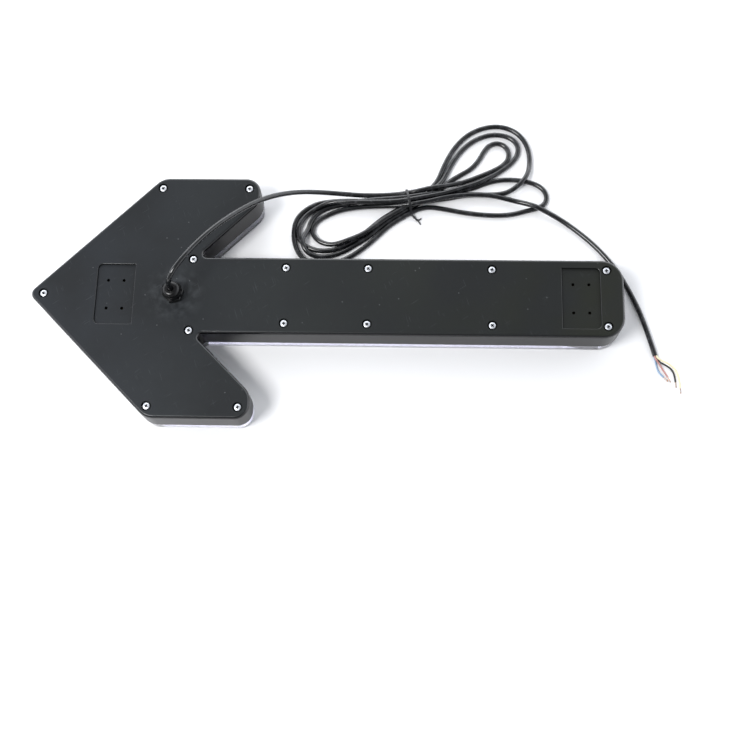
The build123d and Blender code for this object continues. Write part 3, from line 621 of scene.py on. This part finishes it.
class FixingTree:
    """Geometry Nodes that set one template at every place of a point mesh."""

    SOCKETS = (("Template", "NodeSocketObject"), ("Scale", "NodeSocketFloat"), ("Turn", "NodeSocketFloat"),
               ("Tilt", "NodeSocketFloat"), ("Seed", "NodeSocketInt"), ("Finish", "NodeSocketMaterial"))

    def __init__(self) -> None:
        """Build the tree once; every set of fixings shares it."""
        tree = bpy.data.node_groups.new("fixings_at_places", "GeometryNodeTree")
        self.tree = tree
        sides = tree.interface
        sides.new_socket("Geometry", in_out="INPUT", socket_type="NodeSocketGeometry")
        made = [sides.new_socket(name, in_out="INPUT", socket_type=kind) for name, kind in self.SOCKETS]
        self.ids = {item.name: item.identifier for item in made}
        sides.new_socket("Geometry", in_out="OUTPUT", socket_type="NodeSocketGeometry")
        given = add_node(tree, "NodeGroupInput").outputs
        shape = add_node(tree, "GeometryNodeObjectInfo", {"Object": given["Template"]}).outputs["Geometry"]
        tilt = given["Tilt"]
        back = product(tree, tilt, -1.0)
        turn = given["Turn"]
        round_back = product(tree, turn, -1.0)
        least = add_node(tree, "ShaderNodeCombineXYZ", {0: back, 1: back, 2: round_back}).outputs[0]
        most = add_node(tree, "ShaderNodeCombineXYZ", {0: tilt, 1: tilt, 2: turn}).outputs[0]
        inputs = {0: least, 1: most, "Seed": given["Seed"]}
        random_turn = add_node(tree, "FunctionNodeRandomValue", inputs, data_type="FLOAT_VECTOR").outputs[0]
        inputs = {"Points": given["Geometry"], "Instance": shape, "Rotation": random_turn,
                  "Scale": given["Scale"]}
        placed = add_node(tree, "GeometryNodeInstanceOnPoints", inputs).outputs[0]
        real = add_node(tree, "GeometryNodeRealizeInstances", {0: placed}).outputs[0]
        # Faces past the template's first material keep what they wear.
        index = add_node(tree, "GeometryNodeInputMaterialIndex").outputs[0]
        first = add_node(tree, "ShaderNodeMath", {0: index, 1: 0.5}, operation="LESS_THAN").outputs[0]
        inputs = {0: real, "Selection": first, "Material": given["Finish"]}
        painted = add_node(tree, "GeometryNodeSetMaterial", inputs).outputs[0]
        add_node(tree, "NodeGroupOutput", {0: painted})

    def set_out(self, name: str, template: bpy.types.Object, places: list[Vector],
                finish: bpy.types.Material, turn: float = math.pi, tilt: float = 0.0,
                seed: int = 1) -> bpy.types.Object:
        """Set the template at each place, and return the result as one plain mesh.

        Args:
            name: the new piece's name.
            template: the object that is repeated; it is removed afterwards by its maker.
            places: where the copies go.
            finish: the material in place of the template's first; its others stay.
            turn: the most that a copy turns about Z, in radians.
            tilt: the most that a copy tilts, in radians.
            seed: the seed of the turns.

        Returns:
            The piece.
        """
        points = bpy.data.meshes.new(name + "_places")
        points.from_pydata([tuple(place) for place in places], [], [])
        holder = mesh_piece(name + "_places", points)
        modifier = holder.modifiers.new("fixings", "NODES")
        modifier.node_group = self.tree
        values = {"Template": template, "Scale": 1.0, "Turn": turn, "Tilt": tilt, "Seed": seed,
                  "Finish": finish}
        for socket, value in values.items():
            modifier[self.ids[socket]] = value
        mesh = evaluated_mesh(holder, name)
        holder.modifiers.remove(modifier)
        bpy.data.objects.remove(holder)
        return mesh_piece(name, mesh)


@dataclass
class CoverScrews:
    """Pan-head thread-forming screws that hold the shell to the lens, with a cross recess."""

    head_diameter: float = 7.2
    head_height: float = 2.4
    shank_diameter: float = 3.5
    thread_pitch: float = 1.4
    recess_width: float = 1.25
    recess_length: float = 3.7
    recess_depth: float = 1.9
    seed: int = 7

    def head_profile(self, bottom: float) -> list[Point]:
        """The half section of one screw, from the tip to the crown, in millimetres.

        Args:
            bottom: the height of the shank's tip below the head's seat.

        Returns:
            Radius and height of each point.
        """
        root = self.shank_diameter / 2 - 0.3
        crest = self.shank_diameter / 2
        points = [(0, bottom), (root * 0.6, bottom + 0.1)]
        height = bottom + 0.8
        while height < -2.0:
            points += [(root, height), (crest, height + self.thread_pitch * 0.45)]
            height += self.thread_pitch * 0.9
        radius = self.head_diameter / 2
        points += [(root, -1.0), (root, -0.05), (radius - 0.15, 0), (radius, 0.15)]
        points += [(radius, 1.3), (radius * 0.97, 1.75), (radius * 0.9, 2.1)]
        points += [(radius * 0.76, 2.3), (radius * 0.5, self.head_height), (0, self.head_height)]
        return points

    def template(self, bottom: float, finishes: Finishes) -> bpy.types.Object:
        """Make one screw with its cross recess, its seat at the origin.

        Args:
            bottom: the height of the shank's tip below the seat, in millimetres.
            finishes: the board's finishes.

        Returns:
            The screw's object.
        """
        form = turned_form([(r * MM, h * MM) for r, h in self.head_profile(bottom)], 28)
        mesh = bpy.data.meshes.new("screw_template")
        form.to_mesh(mesh)
        form.free()
        screw = mesh_piece("screw_template", mesh)
        cutter = self.recess()
        cut = screw.modifiers.new("recess", "BOOLEAN")
        cut.operation, cut.object, cut.solver = "DIFFERENCE", cutter, "EXACT"
        made = evaluated_mesh(screw, "screw_cut")
        bpy.data.objects.remove(screw)
        bpy.data.objects.remove(cutter)
        shade(made, 32)
        made.materials.clear()
        for key in ("zinc", "recess"):
            made.materials.append(finishes.made[key])
        # The recess's faces lie just inside its reach and below the crown, and take the painted shade.
        reach, crown = self.recess_length * 0.52 * MM, (self.head_height - 0.06) * MM
        for face in made.polygons:
            middle = face.center
            face.material_index = int(middle.xy.length < reach and 0.1 * MM < middle.z < crown)
        return mesh_piece("screw_cut", made)

    def recess(self) -> bpy.types.Object:
        """The tapered cross that is cut into the head.

        Returns:
            The cutter's object.
        """
        form = bmesh.new()
        wide, half = self.recess_width / 2, self.recess_length / 2
        top, floor = self.head_height + 0.3, self.head_height - self.recess_depth
        outline = []
        for quarter in range(4):
            turn = Matrix.Rotation(quarter * math.pi / 2, 3, "Z")
            outline += [turn @ Vector(p) for p in ((half, -wide, 0), (half, wide, 0), (wide, wide, 0))]
        upper = [form.verts.new((p.x * MM, p.y * MM, top * MM)) for p in outline]
        lower = [form.verts.new((p.x * 0.7 * MM, p.y * 0.7 * MM, floor * MM)) for p in outline]
        form.faces.new(upper)
        form.faces.new(lower[::-1])
        for i in range(len(outline)):
            j = (i + 1) % len(outline)
            form.faces.new((upper[i], lower[i], lower[j], upper[j]))
        bmesh.ops.recalc_face_normals(form, faces=form.faces)
        mesh = bpy.data.meshes.new("recess_cutter")
        form.to_mesh(mesh)
        form.free()
        return mesh_piece("recess_cutter", mesh)

    def build(self, tree: FixingTree, finishes: Finishes) -> bpy.types.Object:
        """Set a screw in every counterbore.

        Args:
            tree: the shared fixing tree.
            finishes: the board's finishes.

        Returns:
            The screws as one piece.
        """
        low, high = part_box("cover_screws")
        seat = high.z - self.head_height * MM
        template = self.template((low.z - seat) / MM, finishes)
        places = [Vector((p.x, p.y, seat)) for p in place_set(frame["nodes"]["cover_screws"])]
        zinc = finishes.made["zinc"]
        piece = tree.set_out("cover_screw_set", template, places, zinc, math.pi, 0.0, self.seed)
        bpy.data.objects.remove(template)
        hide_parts("cover_screws")
        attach(piece, "root")
        LOG.info("cover screws: %d", len(places))
        return piece


@dataclass
class Cable:
    """The free four-core cable: out of the gland, over the barb, through a tied hank to its cut end."""

    diameter: float = CABLE_DIAMETER
    core_diameter: float = 1.7
    core_ring: float = 1.0
    core_straight: float = 2.5
    strand_diameter: float = 0.34
    tip_length: float = 6.0
    exit: tuple[float, float, float] = (-0.1538, 0.0, 0.061)

    def spline(self, name: str, points: list[Vector], radius: float, sides: int) -> bpy.types.Object:
        """Make a smooth tube along control points.

        Args:
            name: the curve's name.
            points: the control points in metres.
            radius: the tube's radius in metres.
            sides: the bevel's resolution.

        Returns:
            The curve's object.
        """
        curve = bpy.data.curves.new(name, "CURVE")
        curve.dimensions = "3D"
        curve.bevel_depth = radius
        curve.bevel_resolution = sides
        curve.resolution_u = 8
        curve.use_fill_caps = True
        line = curve.splines.new("NURBS")
        line.points.add(len(points) - 1)
        for corner, point in zip(line.points, points):
            corner.co = (*point, 1.0)
        line.order_u = 3
        line.use_endpoint_u = True
        line.use_smooth = True
        piece = bpy.data.objects.new(name, curve)
        bpy.context.scene.collection.objects.link(piece)
        return piece

    def sheath(self, finishes: Finishes) -> bpy.types.Object:
        """The cable's sheath from the gland to its cut end.

        Args:
            finishes: the board's finishes.

        Returns:
            The sheath's curve object.
        """
        route = LEAD + INNER_LOOP + LOW_LOOP + OUTER_LOOP + MIDDLE_LOOP + WAY_OUT + TAIL
        points = [Vector(p if len(p) == 3 else (*p, LYING)) * MM for p in route]
        piece = self.spline("free_cable", points, self.diameter / 2 * MM, 4)
        piece.data.materials.append(finishes.made["sheath"])
        return piece

    def end_frame(self) -> tuple[Vector, Vector, Vector]:
        """The middle, run and side of the sheath's cut end, in millimetres."""
        end = Vector((*TAIL[-1], LYING))
        run = (end - Vector((*TAIL[-2], LYING))).normalized()
        return end, run, Vector((-run.y, run.x, 0))

    def core(self, core: Core, finishes: Finishes) -> list[bpy.types.Object]:
        """One insulated core with its bared strands.

        Args:
            core: which core.
            finishes: the board's finishes.

        Returns:
            The insulation and the strands.
        """
        end, run, aside = self.end_frame()
        side, level = core.exit()
        start = end + aside * self.core_ring * side + Vector((0, 0, self.core_ring * level))
        buried = start - run * 1.5
        route = [buried, start, start + run * self.core_straight] + [Vector(p) for p in core.route()]
        tube = self.spline("core_tube", [p * MM for p in route], self.core_diameter / 2 * MM, 3)
        mesh = evaluated_mesh(tube, f"core_{core.value}_insulation")
        bpy.data.objects.remove(tube)
        shade(mesh, 60)
        insulation = mesh_piece(f"core_{core.value}_insulation", mesh)
        paint(insulation, finishes.made[core.value])
        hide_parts(f"core_{core.value}")
        return [insulation, self.strands(core, route[-1], (route[-1] - route[-2]).normalized(), finishes)]

    def strands(self, core: Core, start: Vector, run: Vector, finishes: Finishes) -> bpy.types.Object:
        """Seven twisted copper strands that stand out of a core's end.

        Args:
            core: which core they belong to.
            start: where the insulation ends, in millimetres.
            run: the direction that they leave in.
            finishes: the board's finishes.

        Returns:
            The strands as one piece.
        """
        chance = random.Random(f"strands {core.value}")
        across = Vector((-run.y, run.x, 0)).normalized()
        upward = run.cross(across)
        form = bmesh.new()
        for number in range(7):
            ring = 0.0 if number == 0 else self.strand_diameter * 1.02
            begin = number * math.pi / 3
            splay = chance.uniform(0.0, 0.25)
            points = []
            for step in range(7):
                share = step / 6
                angle = begin + share * 1.6
                out = ring + splay * share**2 * (number > 0)
                offset = across * out * math.cos(angle) + upward * out * math.sin(angle)
                reach = share * (self.tip_length - chance.uniform(0.0, 0.5) * (step == 6)) - 0.6 * (step == 0)
                point = start + run * reach + offset
                point.z = max(point.z, self.strand_diameter / 2)
                points.append(point * MM)
            tube = self.spline("strand", points, self.strand_diameter / 2 * MM, 1)
            tube.data.resolution_u = 2
            form.from_mesh(evaluated_mesh(tube, "strand"))
            bpy.data.objects.remove(tube)
        mesh = bpy.data.meshes.new(f"core_{core.value}_strands")
        form.to_mesh(mesh)
        form.free()
        shade(mesh, 60)
        piece = mesh_piece(f"core_{core.value}_strands", mesh)
        paint(piece, finishes.made["bright_copper"])
        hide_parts("core_tips")
        return piece

    def build(self, finishes: Finishes) -> None:
        """Args:
            finishes: the board's finishes.
        """
        sheath = self.sheath(finishes)
        along = TwistTie().build(self, finishes)
        for core in Core:
            along += self.core(core, finishes)
        for piece in [sheath, *along]:
            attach(piece, "root")
        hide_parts("cable_lead", "cable_hank", "cable_tail")


@dataclass
class TwistTie:
    """A plastic-coated wire tie round the hank's waist, its two ends twisted together."""

    ribbon_width: float = 2.6
    ribbon_thickness: float = 0.7
    # Y and Z of the band round the bundle, clockwise from its twisted corner.
    BAND = (
        (107.0, 3.6), (106.6, 1.4), (108.5, 0.4), (114, 0.35), (121, 0.35), (128, 0.4), (132.6, 2.2),
        (134.1, 6.5), (134.1, 10.4), (131.8, 12.2), (128.6, 13.4), (125.5, 14.4), (121.5, 15.3),
        (117.5, 14.6), (114.5, 12.2), (111.8, 8.6), (109.2, 5.6),
    )
    TWIST = (
        (85.6, 107.6, 4.2), (87.2, 105.9, 3.6), (88.8, 104.5, 2.8), (90.4, 103.2, 2.0),
        (92.0, 102.0, 1.6),
    )
    ENDS = (
        ((93.4, 100.6, 0.95), (94.6, 99.0, 0.85), (95.6, 97.4, 0.85)),
        ((93.6, 102.2, 1.1), (94.9, 103.2, 0.95), (96.0, 104.4, 0.9)),
    )
    wire_diameter: float = 1.5
    turns: float = 3.0

    def ribbon(self) -> bmesh.types.BMesh:
        """The flat band round the bundle, slightly slanted as it was pulled tight.

        Returns:
            The band as a closed ring of rounded section.
        """
        form = bmesh.new()
        middle = Vector((0, 120.5, 7.5))
        rows = []
        count = len(self.BAND)
        for i, (y, z) in enumerate(self.BAND):
            before, after = self.BAND[i - 1], self.BAND[(i + 1) % count]
            along = Vector((0, after[0] - before[0], after[1] - before[1])).normalized()
            out = Vector((0, along.z, -along.y))
            centre = Vector((0, y, z))
            if (centre + out - middle).length < (centre - middle).length:
                out = -out
            centre.x = 83.0 - (y - 120.5) * 0.22
            half, thick = self.ribbon_width / 2, self.ribbon_thickness / 2
            section = ((-half, -0.5), (-half, 0.5), (-half * 0.8, 1), (half * 0.8, 1), (half, 0.5),
                       (half, -0.5), (half * 0.8, -1), (-half * 0.8, -1))
            row = []
            for wide, deep in section:
                point = centre + Vector((wide, 0, 0)) + out * deep * thick
                point.z = max(point.z, 0.02)
                row.append(form.verts.new(point * MM))
            rows.append(row)
        for i in range(count):
            first, second = rows[i], rows[(i + 1) % count]
            for j in range(8):
                form.faces.new((first[j], first[(j + 1) % 8], second[(j + 1) % 8], second[j]))
        bmesh.ops.recalc_face_normals(form, faces=form.faces)
        return form

    def build(self, cable: Cable, finishes: Finishes) -> list[bpy.types.Object]:
        """Make the band and its twisted ends.

        Args:
            cable: the cable, whose tube maker the ends use.
            finishes: the board's finishes.

        Returns:
            The tie's pieces.
        """
        form = self.ribbon()
        mesh = bpy.data.meshes.new("twist_tie_band")
        form.to_mesh(mesh)
        form.free()
        band = mesh_piece("twist_tie_band", mesh)
        smooth = band.modifiers.new("round", "SUBSURF")
        smooth.levels = smooth.render_levels = 2
        rounded = evaluated_mesh(band, "twist_tie_band_round")
        bpy.data.objects.remove(band)
        shade(rounded, 50)
        band = mesh_piece("twist_tie_band", rounded)
        whole = bmesh.new()
        for phase, loose in enumerate(self.ENDS):
            points = []
            for step, point in enumerate(self.TWIST):
                angle = step / (len(self.TWIST) - 1) * self.turns * 2 * math.pi + phase * math.pi
                offset = Vector((0.62, 0.75, 0)) * 0.7 * math.cos(angle)
                offset.z = 0.7 * math.sin(angle)
                lifted = Vector(point) + offset
                lifted.z = max(lifted.z, self.wire_diameter / 2 + 0.05)
                points.append(lifted * MM)
            points += [Vector(p) * MM for p in loose]
            tube = cable.spline("tie_end", points, self.wire_diameter / 2 * MM, 2)
            whole.from_mesh(evaluated_mesh(tube, "tie_end"))
            bpy.data.objects.remove(tube)
        ends_mesh = bpy.data.meshes.new("twist_tie_ends")
        whole.to_mesh(ends_mesh)
        whole.free()
        shade(ends_mesh, 60)
        ends = mesh_piece("twist_tie_ends", ends_mesh)
        for piece in (band, ends):
            paint(piece, finishes.made["tie"])
            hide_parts("hank_tie")
        return [band, ends]


@dataclass
class Housing:
    """The moulded shell, the clear lens, the gland and what is inside: CAD nodes with their finishes."""

    FINISH_OF = {
        "back_shell": "shell", "rim_gasket": "rubber", "lens_cover": "lens", "mount_inserts": "brass",
        "stem_lamp_board": "board", "left_wing_lamp_board": "board", "right_wing_lamp_board": "board",
        "ballast_resistors": "epoxy", "board_screws": "zinc", "flasher_board": "board",
        "terminal_block": "terminal", "terminal_screws": "zinc", "smoothing_capacitor": "aluminium",
        "choke_coil": "copper_coil", "driver_chips": "epoxy", "stacking_header": "epoxy",
        "gland_washer": "rubber", "gland_body": "nylon", "gland_locknut": "nylon", "gland_seal": "rubber",
        "gland_dome_nut": "nylon", "cable_entry": "sheath", "entry_cores": "red",
        "left_wing_jumper": "red", "right_wing_jumper": "red",
        "stem_emitters": "phosphor", "left_wing_emitters": "phosphor", "right_wing_emitters": "phosphor",
        "stem_optics": "optic", "left_wing_optics": "optic", "right_wing_optics": "optic",
    }

    def build(self, finishes: Finishes) -> None:
        """Dress every CAD node that stays.

        Args:
            finishes: the board's finishes.
        """
        for node, key in self.FINISH_OF.items():
            finishes.dress(frame["nodes"][node], key)
        LOG.info("housing: %d parts dressed", len(self.FINISH_OF))


@dataclass
class Studio:
    """The bench, the lights and the camera."""

    lens: float = 51.634
    sensor: float = 36.0
    shift_y: float = 0.02267
    place: tuple[float, float, float] = (0.0884, -0.3752, 1.0637)
    turns: tuple[float, float, float] = (0.263601, 0.034100, 0.012958)
    bench_colour: str = "fbfbfc"
    bench_half: float = 6.0
    key_place: Point = (-1.05, -0.65, 2.0)
    key_size: float = 0.8
    key_power: float = 40
    rear_place: Point = (-0.7, 3.2, 2.2)
    rear_size: float = 2.4
    rear_power: float = 30

    def camera(self) -> None:
        """Set the camera above the bench, looking down and slightly forwards."""
        data = bpy.data.cameras.new("camera")
        data.lens, data.sensor_width, data.shift_y = self.lens, self.sensor, self.shift_y
        camera = bpy.data.objects.new("camera", data)
        turn_x, turn_y, turn_z = (
            Matrix.Rotation(angle, 4, axis) for angle, axis in zip(self.turns, "XYZ")
        )
        camera.matrix_world = Matrix.Translation(self.place) @ turn_x @ turn_y @ turn_z
        bpy.context.scene.collection.objects.link(camera)
        bpy.context.scene.camera = camera

    def bench(self) -> None:
        """A plain pale bench top under the board."""
        form = bmesh.new()
        bmesh.ops.create_grid(form, x_segments=1, y_segments=1, size=self.bench_half)
        mesh = bpy.data.meshes.new("bench_top")
        form.to_mesh(mesh)
        form.free()
        bench = mesh_piece("bench_top", mesh)
        top = Finish("pale_laminate", self.bench_colour, 0.35, ior=1.5).build()
        bench.data.materials.append(top)

    def light(self, name: str, place: Point, size: float, power: float) -> None:
        """Add a square soft light that faces the middle of the board.

        Args:
            name: the light's name.
            place: where it hangs.
            size: the length of its side in metres.
            power: its power in watts.
        """
        data = bpy.data.lights.new(name, "AREA")
        data.size, data.energy = size, power
        lamp = bpy.data.objects.new(name, data)
        lamp.location = place
        towards = Vector((0.0, 0.0, 0.0)) - Vector(place)
        lamp.rotation_euler = towards.to_track_quat("-Z", "Y").to_euler()
        bpy.context.scene.collection.objects.link(lamp)

    def room(self) -> None:
        """Pale walls round the bench and a dim ceiling, which is what a flat black face mirrors."""
        world = bpy.data.worlds.new("soft_room")
        world.use_nodes = True
        tree = world.node_tree
        direction = add_node(tree, "ShaderNodeTexCoord").outputs["Generated"]
        sides = add_node(tree, "ShaderNodeSeparateXYZ", {0: direction}).outputs
        inputs = {"Value": sides["Z"], "From Min": 0.4, "From Max": 0.9, "To Min": 1.8, "To Max": 0.3}
        above = add_node(tree, "ShaderNodeMapRange", inputs, interpolation_type="SMOOTHSTEP").outputs[0]
        inputs = {"Value": sides["Y"], "From Min": -0.9, "From Max": 0.3, "To Min": 0.25, "To Max": 1.4}
        behind = add_node(tree, "ShaderNodeMapRange", inputs, interpolation_type="SMOOTHSTEP").outputs[0]
        level = product(tree, above, behind)
        back = tree.nodes["Background"]
        back.inputs[0].default_value = linear("f2f5fa")
        tree.links.new(level, back.inputs[1])
        bpy.context.scene.world = world

    def build(self) -> None:
        """Make the camera, the bench and the lights."""
        self.camera()
        self.bench()
        self.light("key_light", self.key_place, self.key_size, self.key_power)
        self.light("rear_softbox", self.rear_place, self.rear_size, self.rear_power)
        self.room()
        bpy.context.scene.view_settings.view_transform = "Standard"


def main() -> None:
    """Build the scene in order; the screw count and the dressed housing parts are logged."""
    logging.basicConfig(level=logging.INFO, format="%(name)s: %(message)s")
    Studio().build()
    finishes = Finishes()
    Cable().build(finishes)
    Housing().build(finishes)
    tree = FixingTree()
    CoverScrews().build(tree, finishes)


if __name__ == "__main__":
    main()
